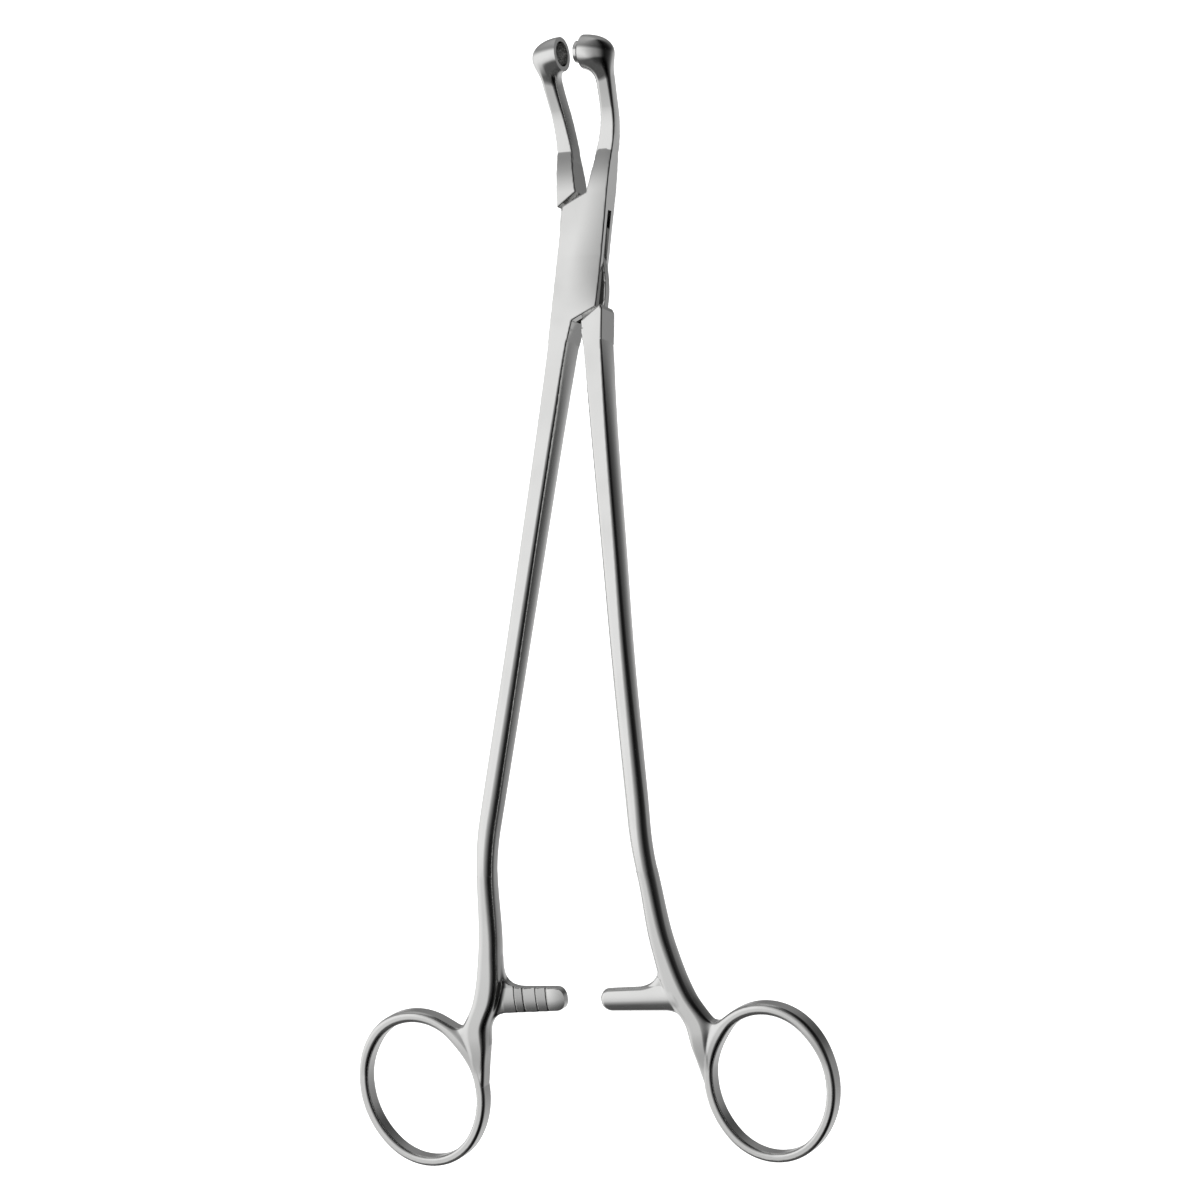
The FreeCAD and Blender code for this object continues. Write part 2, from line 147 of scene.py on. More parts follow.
def bentPath(reach, rise, radius, angle):
    # Length along a line that bends in one arc, and height off it towards the inside of the bend
    turn = np.arctan2(reach, radius - rise)
    endReach, endRise = radius * math.sin(angle), radius * (1 - math.cos(angle))
    far = (reach - endReach) * math.cos(angle) + (rise - endRise) * math.sin(angle)
    farOff = (rise - endRise) * math.cos(angle) - (reach - endReach) * math.sin(angle)
    along = np.where(reach < 0, reach, np.where(turn > angle, radius * angle + far, radius * turn))
    off = np.where(reach < 0, rise, np.where(turn > angle, farOff, radius - np.hypot(reach, radius - rise)))
    return along, off


def flowing(stations):
    # A lookup that passes smoothly through rows of (length along, value, value, ...)
    rows = np.array(stations, float)
    at = rows[:, 0]
    slope = np.gradient(rows[:, 1:], at, axis=0)
    slope[0] = slope[-1] = 0
    fine = np.linspace(at[0], at[-1], 400)
    i = np.clip(np.searchsorted(at, fine, "right") - 1, 0, len(at) - 2)
    span = (at[i + 1] - at[i])[:, None]
    t = ((fine - at[i]) / (at[i + 1] - at[i]))[:, None]
    low, high = rows[i, 1:], rows[i + 1, 1:]
    values = (low * (1 + 2 * t) * (1 - t) ** 2 + high * (3 - 2 * t) * t ** 2
              + slope[i] * span * t * (1 - t) ** 2 - slope[i + 1] * span * t ** 2 * (1 - t))
    return lambda along: [np.interp(along, fine, column) for column in values.T]


# Cells per block and how near a block has to be; lengths are in millimetres or shares of a cell
grid = {"step": 0.25, "block": 8, "nearBlock": 1.3, "slopeStep": 0.004,
        "weakSlope": 0.06, "astray": 0.75, "settle": 0.2}


def gridBlocks(form, low, high, step):
    # Whole-number places and values of the grid, in blocks that lie near the surface
    block = grid["block"]
    counts = np.ceil((np.array(high) - low) / (step * block)).astype(int)
    blocks = np.stack(np.meshgrid(*[np.arange(c) for c in counts], indexing="ij"), -1).reshape(-1, 3)
    middle = low + (blocks + 0.5) * block * step
    blocks = blocks[np.abs(form(*middle.T)) < block * step * grid["nearBlock"]]
    inner = np.stack(np.meshgrid(*[np.arange(block + 1)] * 3, indexing="ij"), -1)
    nodes = blocks[:, None, None, None, :] * block + inner
    value = form(*(low + nodes * step).reshape(-1, 3).T).reshape(nodes.shape[:-1])
    return nodes, value, counts * block + 2


def cutSides(nodes, value, size):
    # The grid's sides that the surface crosses: direction, start, and the values at both ends
    found = []
    for axis in range(3):
        first = [slice(None)] * 4
        second = [slice(None)] * 4
        first[axis + 1], second[axis + 1] = slice(None, -1), slice(1, None)
        a, b = value[tuple(first)], value[tuple(second)]
        cut = (a < 0) != (b < 0)
        start = nodes[tuple(first)][cut]
        key = ((axis * size[0] + start[:, 0]) * size[1] + start[:, 1]) * size[2] + start[:, 2]
        key, pick = np.unique(key, return_index=True)
        found.append((np.full(len(pick), axis), start[pick], a[cut][pick], b[cut][pick]))
    return [np.concatenate(part) for part in zip(*found)]


def slopes(form, spot):
    tiny = grid["slopeStep"]
    slope = np.stack([form(*(spot + tiny * d).T) - form(*(spot - tiny * d).T) for d in np.eye(3)], -1)
    return slope / np.maximum(np.linalg.norm(slope, axis=1, keepdims=True), 1e-12)


def crossings(form, low, step, axis, start, a, b):
    # Where the surface cuts each side, narrowed down in three steps
    way = np.eye(3)[axis]
    near, far = np.zeros(len(axis)), np.ones(len(axis))
    va, vb = a.copy(), b.copy()
    for attempt in range(3):
        share = np.clip(near + (far - near) * va / (va - vb), near, far)
        spot = low + (start + way * share[:, None]) * step
        v = form(*spot.T)
        same = (v < 0) == (va < 0)
        near, va = np.where(same, share, near), np.where(same, v, va)
        far, vb = np.where(same, far, share), np.where(same, vb, v)
        va = np.where(va == vb, va - 1e-9, va)
    return spot


def skin(form, low, high, step):
    # A closed quad mesh round a form: one point per cell that the surface crosses, set on its
    # faces, edges and corners from the slopes measured where the surface cuts the cell's sides
    low = np.array(low, float)
    nodes, value, size = gridBlocks(form, low, high, step)
    axis, start, a, b = cutSides(nodes, value, size)
    spot = crossings(form, low, step, axis, start, a, b)
    slope = slopes(form, spot)
    around = [(-1, -1), (0, -1), (0, 0), (-1, 0)]
    cells = np.repeat(start[:, None, :], 4, axis=1)
    for corner, (du, dv) in enumerate(around):
        cells[np.arange(len(axis)), corner, (axis + 1) % 3] += du
        cells[np.arange(len(axis)), corner, (axis + 2) % 3] += dv
    key = ((cells[..., 0] * size[1]) + cells[..., 1]) * size[2] + cells[..., 2]
    unique, pick, owner = np.unique(key.ravel(), return_index=True, return_inverse=True)
    cell = cells.reshape(-1, 3)[pick]

    def gathered(values):
        return np.bincount(owner, weights=np.repeat(values, 4), minlength=len(unique))

    # The point nearest to all the cut planes of a cell, left alone along directions they don't fix
    count = gathered(np.ones(len(axis)))
    mean = np.stack([gathered(spot[:, i]) for i in range(3)], -1) / count[:, None]
    flat = np.einsum("ij,ij->i", slope, spot)
    pull = np.stack([gathered(slope[:, i] * flat) for i in range(3)], -1)
    spread = np.stack([gathered(slope[:, i] * slope[:, j]) for i in range(3) for j in range(3)], -1)
    spread = spread.reshape(-1, 3, 3)
    pull -= np.einsum("nij,nj->ni", spread, mean)
    strength, ways = np.linalg.eigh(spread)
    keep = strength > grid["weakSlope"] * strength[:, -1:]
    inverse = np.where(keep, 1 / np.maximum(strength, 1e-12), 0)
    point = mean + np.einsum("nij,nj->ni", ways, inverse * np.einsum("nji,nj->ni", ways, pull))
    middle = low + (cell + 0.5) * step
    astray = (np.abs(point - middle) > step * grid["astray"]).any(axis=1)
    point[astray] = mean[astray]
    # Points of plain faces go back onto the surface itself
    plain = (keep.sum(axis=1) == 1) | astray
    normal = np.stack([gathered(slope[:, i]) for i in range(3)], -1)
    normal /= np.maximum(np.linalg.norm(normal, axis=1, keepdims=True), 1e-12)
    most = grid["settle"] * step
    for attempt in range(2):
        off = np.clip(form(*point[plain].T), -most, most)
        point[plain] -= normal[plain] * off[:, None]
    faces = owner.reshape(-1, 4)
    return point, np.where((a < 0)[:, None], faces, faces[:, ::-1])


# The two halves, each drawn with its shank and ring on the +X side

lock = {"thick": 5.4, "edge": 0.25,
        "halfWidth": 4.55, "lean": 0.085,  # of the box at the pin, and its sides' slant
        "cheekShort": 9.9, "cheekLong": 12.3, "cheekInner": 0.9,  # slanted ends of the cheeks
        "slotEnd": 8.7, "slotGap": 0.06, "slotEdge": 0.02,
        "crown": 0.0134, "crownFrom": 2.0, "crownSlant": 0.25,  # towards the free edge
        "crownStart": -14.0, "crownReach": 12.0,
        "sideLean": 0.13, "leanReach": 6.0,  # the free side, in towards the back
        "hollow": 0.0135, "hollowStart": 12.5, "jawTop": 20.6,  # hollow-ground faces, up to a crease
        "tongueThick": 1.7, "tongueEdge": 0.1, "waist": (3.9, 6.0), "waistEnd": 0.5, "bulge": (5.1, 6.0),
        "shoulderOuter": (4.95, 9.6), "shoulderInner": (1.06, 12.5), "shoulderLower": (5.4, 10.4),
        "pin": 1.3, "pinSunk": 0.03}
jaws = {"root": 19.0, "inner": 2.3, "outer": 5.6, "innerSlant": 0.2, "outerSlant": 0.09,
        "bendStart": 20.5, "bendRadius": 17.0, "bendAngle": 30.0,
        "endRun": 5.0, "endPast": 0.6, "endRadius": 1.5, "overlap": 2.0}  # round end inside the head
heads = {"y": 38.1, "radius": 3.25, "length": 5.55, "collar": 0.5, "faceGap": 0.12, "closeAngle": 7.0,
         "cupRadius": 2.4, "cupDepth": 3.6, "cupFloor": 1.2, "neckFillet": 2.8,
         "seat": 1.21, "seatDepth": 3.61, "dowelAt": 2.2, "dowel": 0.66, "dowelFoot": 0.3}
shanks = {"root": 16.3, "x": 3.65, "shift": 0.15, "width": 4.1, "spread": 0.1325, "straight": 91.0,
          "square": 0.991,  # the sections stand square to the spread
          "bendRadius": 25.0, "bendAngle": 22.0, "armOut": 4.2, "handleFrom": 100.0, "overlap": 2.2}
rings = {"x": 36.5, "drop": 45.1, "length": 30.2, "width": 26.6, "band": 1.82, "depth": 3.4, "tilt": 3.0,
         "endShare": 0.91, "lift": 0.7, "corner": 0.6,
         "fork": 6.0, "forkEnd": 44.0, "forkFade": 9.0, "webInset": (0.15, 0.1),
         "limbFillet": 0.4, "leastFillet": 0.03, "leastFork": 0.05, "limbPast": 2.0}
# Pairs hold the value of the arm behind, with its teeth in front, and of the arm in front
arms = {"drop": (28.7, 28.5), "height": 4.9, "tipHeight": 4.4, "taper": 13.0, "tipX": 4.4, "tipRadius": 1.9,
        "split": 0.45, "thick": (2.15, 1.75), "edge": (0.35, 0.8), "crown": (0.05, 0.1), "crownReach": 2.4,
        "upperFillet": (5.0, 6.0), "lowerFillet": (3.2, 3.0), "rootFillet": (1.0, 0.4), "rootReach": 8.0,
        "walls": (7.75, 9.95, 12.65, 14.5, 17.3), "toothDepth": 0.3, "tipFall": 0.03,
        "notch": (0.45, 0.35, 0.7)}  # width, depth, and the share that turns a depth into a distance


def easedShare(share):
    # From 0 to 1 with a smooth start and end
    share = np.clip(share, 0, 1)
    return share * share * (3 - 2 * share)


def jawTable():
    angle = math.radians(jaws["bendAngle"])
    beyond = heads["y"] - jaws["bendStart"] - jaws["bendRadius"] * math.sin(angle)
    end = jaws["bendRadius"] * angle + beyond / math.cos(angle)
    start = jaws["root"] - jaws["bendStart"]
    # length along, centre line, width, depth, corner radius, bow of the sides
    return flowing([(start - 3.0, 3.6, 3.2, 3.5, 0.25, 0.0),
                    (start, 3.9, 3.2, 3.55, 0.25, 0.0),
                    (start + 1.6, 4.17, 3.15, 3.62, 0.25, 0.0),
                    (start + 0.28 * (end - start), 4.82, 3.0, 3.55, 0.35, 0.1),
                    (start + 0.5 * (end - start), 5.3, 2.9, 3.4, 0.45, 0.15),
                    (start + 0.78 * (end - start), 5.72, 3.15, 3.6, 0.8, 0.1),
                    (end - 1.0, 5.85, 3.3, 3.8, 1.3, 0.0),
                    (end + 1.0, 5.85, 3.3, 3.8, 1.5, 0.0)]), end


def jawForm(x, y, z, lean):
    table, end = jawRows
    along, off = bentPath(y - jaws["bendStart"], z, jaws["bendRadius"], math.radians(jaws["bendAngle"]))
    centre, width, depth, corner, bow = table(along)
    # The outer side leans in towards the back; the end is round
    outer = np.clip((x - centre) / width + 0.5, 0, 1)
    bar = roundedBar(x - centre - lean * off * outer, off, width / 2, depth / 2, corner, bow)
    run = jaws["endRun"]
    bar = plate(bar, np.maximum(along - end + run, 0), run + jaws["endPast"], jaws["endRadius"])
    return np.maximum(bar, jaws["root"] - jaws["bendStart"] - jaws["overlap"] - along)


def headPlace():
    # Turned so that the two faces meet flat when the jaws close
    half = math.radians(heads["closeAngle"] / 2)
    angle = math.radians(jaws["bendAngle"])
    rise = (jaws["bendRadius"] * (1 - math.cos(angle))
            + (heads["y"] - jaws["bendStart"] - jaws["bendRadius"] * math.sin(angle)) * math.tan(angle))
    face = heads["y"] * math.tan(half) + heads["faceGap"] / 2
    return Matrix.Translation((face, heads["y"], rise)) @ Matrix.Rotation(-half, 4, "Z")


def headCoords(x, y, z):
    back = np.array(headPlace().inverted())  # from the lock into the head, with its face at 0
    return [back[i, 0] * x + back[i, 1] * y + back[i, 2] * z + back[i, 3] for i in range(3)]


def headForm(x, y, z):
    hx, hy, hz = headCoords(x, y, z)
    a, r = heads["length"] - heads["collar"], heads["radius"]
    ex = np.maximum(hx - heads["collar"], 0)
    radial = np.hypot(hy, hz)
    k0 = np.sqrt((ex / a) ** 2 + (radial / r) ** 2)
    k1 = np.sqrt((ex / a ** 2) ** 2 + (radial / r ** 2) ** 2)
    return k0 * (k0 - 1) / np.maximum(k1, 1e-9)


def cupForm(x, y, z):
    hx, hy, hz = headCoords(x, y, z)
    radial = np.hypot(hy, hz)
    r = heads["cupFloor"]
    qa = radial - (heads["cupRadius"] - r)
    qt = hx - (heads["cupDepth"] - r)
    return np.hypot(np.maximum(qa, 0), np.maximum(qt, 0)) + np.minimum(np.maximum(qa, qt), 0) - r


def handleCoords(x, y, z):
    # Length down the shank from its root, and height off its middle line towards the front
    along, off = bentPath(-y - shanks["root"] - shanks["straight"], -z, shanks["bendRadius"],
                          math.radians(shanks["bendAngle"]))
    return along + shanks["straight"], -off


def handleFlat(along, off):
    # The same place in the flat of the handle: down from where straight shank and handle would meet
    turn = math.radians(shanks["bendAngle"])
    meet = shanks["straight"] + shanks["bendRadius"] * (turn - math.tan(turn / 2))
    return along - meet, off - rings["lift"]


def shankTable(side):
    turn = math.radians(shanks["bendAngle"])
    tangent = shanks["bendRadius"] * math.tan(turn / 2)
    sag = 2 * tangent - shanks["bendRadius"] * turn
    bendEnd = shanks["straight"] + shanks["bendRadius"] * turn
    wristX = shanks["x"] + shanks["spread"] * (shanks["straight"] + tangent)
    armX = wristX + shanks["armOut"]
    limbX = rings["x"] - rings["width"] / 2 + rings["band"] / 2
    armAt = arms["drop"][1] + shanks["straight"] + tangent - sag
    ringAt = rings["drop"] + shanks["straight"] + tangent - sag
    rootX = shanks["x"] - side * shanks["shift"]

    def line(along, inset, share):
        return shanks["x"] + along * shanks["spread"] - inset - side * shanks["shift"] * share

    def part(share):
        return armAt + (ringAt - armAt) * share

    # length along, centre line, width, depth, corner radius, bow of the sides, height of the front
    return flowing([(-3.0, rootX - 3.0 * shanks["spread"], 4.1, 5.4, 0.25, 0.0, 2.7),
                    (0.0, rootX, 4.1, 5.4, 0.3, 0.1, 2.7),
                    (14.0, line(14.0, 0.15, 1.0), 4.3, 5.1, 0.45, 0.45, 2.7),
                    (40.0, line(40.0, 0.25, 0.43), 4.1, 4.8, 0.6, 0.55, 2.7),
                    (60.0, line(60.0, 0.33, 0.0), 3.9, 4.5, 0.85, 0.5, 2.7),
                    (78.0, line(78.0, 0.2, -0.9), 3.87, 4.3, 1.2, 0.3, 2.7),
                    (91.0, wristX - 0.75 + side * 0.25, 3.85, 4.2, 1.5, 0.15, 2.7),
                    (bendEnd, wristX + 0.45 + side * 0.25, 3.55, 4.2, 1.5, 0.15, 2.7),
                    (bendEnd + 0.6 * (armAt - bendEnd), wristX + 0.44 * (armX - wristX), 4.1, 4.3, 1.2, 0.3, 2.7),
                    (armAt, armX, 4.8, 4.2, 1.0, 0.4, 2.7),
                    (part(0.3), armX + 0.73 * (limbX - armX), 4.6, 3.9, 0.9, 0.4, 2.65),
                    (part(0.6), armX + 0.82 * (limbX - armX) - 0.05, 3.1, 3.6, 0.6, 0.05, 2.5),
                    (part(0.8), armX + 0.93 * (limbX - armX) - 0.05, 2.5, 3.4, 0.6, 0.0, 2.38),
                    (part(1.0), limbX, 1.7, 3.2, 0.6, 0.0, 2.3),
                    (part(1.15), limbX + 0.3, 1.1, 2.6, 0.5, 0.0, 2.0)])


def ringFlat(x, down):
    # Four tangent arcs, two round the ends and two along the sides
    turn = math.radians(rings["tilt"])
    dx, dy = x - rings["x"], down - rings["drop"]
    across = np.abs(dx * math.cos(turn) + dy * math.sin(turn))
    length = np.abs(dy * math.cos(turn) - dx * math.sin(turn))
    a = (rings["width"] - rings["band"]) / 2
    b = (rings["length"] - rings["band"]) / 2
    end = rings["endShare"] * a
    side = (b * b + a * a - 2 * b * end) / (2 * (a - end))
    join = math.atan2(b - end, side - a)
    onSide = np.arctan2(length, across + side - a) < join
    return np.where(onSide, np.hypot(across + side - a, length) - side, np.hypot(across, length - b + end) - end)


def armFlat(x, down):
    share = np.clip((x - arms["tipX"]) / arms["taper"], 0, 1)
    half = (arms["tipHeight"] + (arms["height"] - arms["tipHeight"]) * share) / 2
    r = arms["tipRadius"]
    qx, qy = arms["tipX"] + r - x, np.abs(down) - half + r
    return np.hypot(np.maximum(qx, 0), np.maximum(qy, 0)) + np.minimum(np.maximum(qx, qy), 0) - r


def toothGap(x, under):
    # Each wall faces the arm's root, with a fine notch at its foot, and a slope falls from it to the tip
    width, depth, share = arms["notch"]
    gap = under - arms["tipFall"] * np.maximum(arms["walls"][0] - x, 0) ** 2
    for wall, end in zip(arms["walls"], arms["walls"][1:]):
        slope = math.hypot(end - wall, arms["toothDepth"])
        ramp = (under * (end - wall) - (end - x) * arms["toothDepth"]) / slope
        side = (under - arms["toothDepth"] - depth * (1 - (x - wall) / width)) * share
        gap = np.minimum(gap, np.maximum(wall - x, np.minimum(ramp, side)))
    return gap


def armForm(x, down, through, barFlat, centre, front):
    down = down - arms["drop"][front]
    share = np.clip(down / 2 + 0.5, 0, 1)
    fillet = arms["upperFillet"][front] * (1 - share) + arms["lowerFillet"][front] * share
    flat = np.maximum(smoothJoin(armFlat(x, down), barFlat, fillet), x - centre)
    flat = np.maximum(flat, np.abs(down) - arms["rootReach"])
    # Depth below the face that carries the teeth; the face that shows is crowned
    under = (through if front else -through) - arms["split"] / 2
    crown = arms["crown"][front] * np.clip(down, -arms["crownReach"], arms["crownReach"]) ** 2
    thick = arms["thick"][front] - crown if front else arms["thick"][front]
    under = under if front else under - crown
    arm = plate(flat, under - thick / 2, thick / 2, arms["edge"][front])
    return np.maximum(arm, -toothGap(x, under))


def lowerForm(x, y, z, table, front):
    # Shank, ring and ratchet arm of one half; front is 1 where the arm passes in front of the other
    along, off = handleCoords(x, y, z)
    centre, width, depth, corner, bow, height = table(along)
    bar = roundedBar((x - centre) * shanks["square"], off - height + depth / 2, width / 2, depth / 2, corner, bow)
    form = np.maximum(bar, -shanks["overlap"] - along)
    pick = along > shanks["handleFrom"]
    if pick.any():
        hx, bar, centre, width, corner = [v[pick] for v in (x, form, centre, width, corner)]
        down, through = handleFlat(along[pick], off[pick])
        barEnd = down - rings["drop"] - rings["limbPast"]
        bar = np.maximum(bar, barEnd)
        barFlat = np.maximum(np.abs(hx - centre) - width / 2 + 0.5 * corner, barEnd)
        across = ringFlat(hx, down)
        ring = roundedBar(across, through, rings["band"] / 2, rings["depth"] / 2, rings["corner"])
        # The web that fills the fork fades out down the ring's inner limb
        fade = easedShare((rings["forkEnd"] - down) / rings["forkFade"])
        flatInset, depthInset = rings["webInset"]
        webFlat = np.abs(across) - rings["band"] / 2 + flatInset
        web = smoothJoin(webFlat, barFlat, rings["leastFork"] + rings["fork"] * fade)
        web = plate(web, through, rings["depth"] / 2 - depthInset, rings["corner"])
        whole = smoothJoin(bar, ring, rings["leastFillet"] + rings["limbFillet"] * fade)
        whole = smoothJoin(whole, web, rings["leastFillet"] + fade)
        arm = armForm(hx, down, through, barFlat, centre, front)
        form[pick] = smoothJoin(whole, arm, arms["rootFillet"][front])
    return form


def jawEnd():
    # The inner and outer corner of a jaw's root, carried on to the crease
    more = lock["jawTop"] - jaws["root"]
    return [(-jaws["inner"] - jaws["innerSlant"] * more, lock["jawTop"]),
            (-jaws["outer"] - jaws["outerSlant"] * more, lock["jawTop"])]


def boxOutline():
    cheek = lock["halfWidth"] - lock["lean"] * lock["cheekShort"]
    x, half = shanks["x"] + shanks["shift"], shanks["width"] / 2
    # Drawn mirrored, so that this half's shank is on the +X side
    return [(cheek, lock["cheekShort"]), (-lock["cheekInner"], lock["cheekLong"]),
            *jawEnd(), (-cheek, -lock["cheekShort"]), (lock["cheekInner"], -lock["cheekLong"]),
            (x - half, -shanks["root"]), (x + half, -shanks["root"])]


def slotOutline():
    end = lock["halfWidth"] + lock["lean"] * lock["slotEnd"]
    far = 20.0  # well past the sides, which the slot is open to
    slope = (lock["cheekLong"] - lock["slotEnd"]) / (end - lock["cheekInner"])
    points = [(lock["cheekInner"], lock["cheekLong"]), (lock["cheekInner"] - far, lock["cheekLong"]),
              (-end - far, -lock["slotEnd"] + slope * far), (-end, -lock["slotEnd"]),
              (-lock["cheekInner"], -lock["cheekLong"]), (-lock["cheekInner"] + far, -lock["cheekLong"]),
              (end + far, lock["slotEnd"] - slope * far), (end, lock["slotEnd"])]
    return [(-x, y) for x, y in points]


def arcPoints(start, middle, end, count):
    # Points on the circle through three points
    (ax, ay), (bx, by), (cx, cy) = start, middle, end
    d = 2 * (ax * (by - cy) + bx * (cy - ay) + cx * (ay - by))
    sa, sb, sc = ax * ax + ay * ay, bx * bx + by * by, cx * cx + cy * cy
    ux = (sa * (by - cy) + sb * (cy - ay) + sc * (ay - by)) / d
    uy = (sa * (cx - bx) + sb * (ax - cx) + sc * (bx - ax)) / d
    first, last = math.atan2(ay - uy, ax - ux), math.atan2(cy - uy, cx - ux)
    if abs(last - first) > math.pi:
        last += math.copysign(2 * math.pi, first - last)
    radius = math.hypot(ax - ux, ay - uy)
    return [(ux + radius * math.cos(first + (last - first) * i / count),
             uy + radius * math.sin(first + (last - first) * i / count)) for i in range(count + 1)]


def webOutline():
    (ox, oy), (ix, iy) = lock["shoulderOuter"], lock["shoulderInner"]
    (wx, wy), (bx, by) = lock["waist"], lock["bulge"]
    side = arcPoints((ox, -oy), (bx, -by), (wx, lock["waistEnd"]), 8) + [(wx, wy), (-ix, iy)]
    return side + [(-x, -y) for x, y in side]


def hollow(y):
    # Above the lock the faces are hollow ground, down to the thinner jaw
    return lock["hollow"] * np.maximum(y - lock["hollowStart"], 0) ** 2


def boxHalfDepth(x, y):
    # Half the thickness: the faces are crowned and fall away towards the free edge
    fade = easedShare((y - lock["crownStart"]) / lock["crownReach"])
    out = np.maximum(-x + lock["crownFrom"] - lock["crownSlant"] * np.maximum(y, 0), 0)
    return lock["thick"] / 2 - lock["crown"] * fade * out ** 2 - hollow(y)


def leaning(x, y, z):
    # The jaw's side of the box half leans in towards the back
    fade = easedShare((y - lock["crownStart"]) / lock["leanReach"])
    return x + lock["sideLean"] * z * fade * np.clip(0.5 - x / 4, 0, 1)


def boxForm(x, y, z):
    box = plate(outlineDistance(leaning(x, y, z), y, boxOutline()), z, boxHalfDepth(x, y), lock["edge"])
    slot = plate(outlineDistance(x, y, slotOutline()), z, lock["tongueThick"] / 2 + lock["slotGap"], lock["slotEdge"])
    return np.maximum(box, -slot)


def plainHead(x, y, z, lean):
    hx, hy, hz = headCoords(x, y, z)
    whole = smoothJoin(jawForm(x, y, z, lean), headForm(x, y, z), heads["neckFillet"])
    return np.maximum(whole, -hx)


def punchJaw(x, y, z):
    # The head that carries the punch: a seat for its stem, and a hole from above for the dowel
    hx, hy, hz = headCoords(-x, y, z)
    seat = np.maximum(np.hypot(hy, hz) - heads["seat"], hx - heads["seatDepth"])
    hole = np.maximum(np.hypot(hx - heads["dowelAt"], hz) - heads["dowel"], -heads["seat"] - heads["dowelFoot"] - hy)
    return np.maximum(plainHead(-x, y, z, lock["sideLean"]), -np.minimum(seat, hole))


def cupJaw(x, y, z):
    return np.maximum(plainHead(-x, y, z, 0.0), -cupForm(-x, y, z))


def upperShoulder(x, y, z):
    (ox, oy), (ix, iy) = lock["shoulderOuter"], lock["shoulderInner"]
    flat = outlineDistance(x, y, [(-ox, oy), (-ix, iy), *jawEnd()])
    return plate(flat, z, lock["thick"] / 2 - hollow(y), lock["edge"])


def lowerShoulder(x, y, z):
    (ox, oy), (ix, iy), (wx, wy) = lock["shoulderOuter"], lock["shoulderInner"], lock["shoulderLower"]
    rootX, half = shanks["x"] - shanks["shift"], shanks["width"] / 2
    outline = [(ox, -oy), (ix, -iy), (rootX - half, -shanks["root"]), (rootX + half, -shanks["root"]), (wx, -wy)]
    return plate(outlineDistance(x, y, outline), z, lock["thick"] / 2, lock["edge"])


def tongueWeb(x, y, z):
    return plate(outlineDistance(x, y, webOutline()), z, lock["tongueThick"] / 2, lock["tongueEdge"])


def joined(x, y, z, parts):
    # Union of forms, each worked out only in its own stretch of the length
    form = np.full(x.shape, 50.0)
    for low, high, made in parts:
        pick = (y > low) & (y < high)
        if pick.any():
            form[pick] = np.minimum(form[pick], made(x[pick], y[pick], z[pick]))
    return form


# Each part's low and high end along the length, a little wider than the part itself
def boxHalf(x, y, z):
    return joined(x, y, z, (
        (-18.0, 21.6, boxForm),
        (14.0, 60.0, punchJaw),
        (-200.0, -12.0, lambda *p: lowerForm(*p, boxShank, 0))))


def tongueHalf(x, y, z):
    return joined(x, y, z, (
        (8.0, 21.6, upperShoulder),
        (-18.0, -8.0, lowerShoulder),
        (-14.0, 14.0, tongueWeb),
        (14.0, 60.0, cupJaw),
        (-200.0, -12.0, lambda *p: lowerForm(*p, tongueShank, 1))))


def pinForm(x, y, z):
    # The pin is ground flush with the crowned faces, a hair below them
    return np.maximum(np.hypot(x, y) - lock["pin"], np.abs(z) - boxHalfDepth(x, y) + lock["pinSunk"])


boxShank = shankTable(-1)
tongueShank = shankTable(1)
jawRows = jawTable()


def cornerNormals(form, point, faces):
    # The form's own slope a little inside each corner of each face, so that edges stay crisp
    middle = point[faces].mean(axis=1, keepdims=True)
    return slopes(form, (point[faces] * 0.7 + middle * 0.3).reshape(-1, 3))


def makePiece(name, form, mirrored, low=(-12, -173, -28), high=(54, 45, 16)):
    point, faces = skin(form, low, high, grid["step"])
    normal = cornerNormals(form, point, faces)
    if mirrored:
        flip = np.array([-1, 1, 1])
        point, normal = point * flip, normal * flip
        faces = faces[:, ::-1]
        normal = normal.reshape(-1, 4, 3)[:, ::-1].reshape(-1, 3)
    turn = np.array(lockPlace.to_3x3())
    spots = (point * mm) @ turn.T + np.array(lockPlace.translation)
    mesh = bpy.data.meshes.new(name)
    mesh.from_pydata(spots.tolist(), [], faces.tolist())
    mesh.normals_split_custom_set((normal @ turn.T).tolist())
    mesh.materials.append(satinSteel)
    piece = bpy.data.objects.new(name, mesh)
    bpy.context.scene.collection.objects.link(piece)
    return piece


boxPiece = makePiece("boxHalf", boxHalf, True)
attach(boxPiece, "box_side")
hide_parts("box_half")
tonguePiece = makePiece("tongueHalf", tongueHalf, False)
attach(tonguePiece, "tongue_side")
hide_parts("tongue_half")
pinPiece = makePiece("lockPin", pinForm, True, (-3, -3, -4), (3, 3, 4))
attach(pinPiece, "box_side")
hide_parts("lock_pin")
print("halves done")


# Studio: a glowing tent that only the steel's reflections see, its light and shade painted by direction, and a white
# floor

# Metres and watts
studio = {"floorSize": 6.0, "floorDrop": 0.009, "floorColour": "#F4F4F4", "floorOwnLight": 0.8,
          "worldLight": 0.75, "keyPower": 2.5, "keySize": 0.9, "keyPlace": (-0.35, 0.1, 1.1), "tentRadius": 2.5}
# Degrees round from the front of the part towards its right side, and the painted brightness of the tent's glow
paintedTentRound = [(-180, 0.6), (-152, 0.62), (-132, 0.7), (-118, 0.85), (-90, 0.97), (-60, 1.0), (-27, 1.0), (-20, 0.8),
             (-12, 0.6), (-4, 0.46), (8, 0.32), (20, 0.2), (32, 0.1), (45, 0.02), (62, 0.01),
             (80, 0.02), (98, 0.03), (115, 0.06), (132, 0.14), (150, 0.28), (165, 0.46), (180, 0.6)]
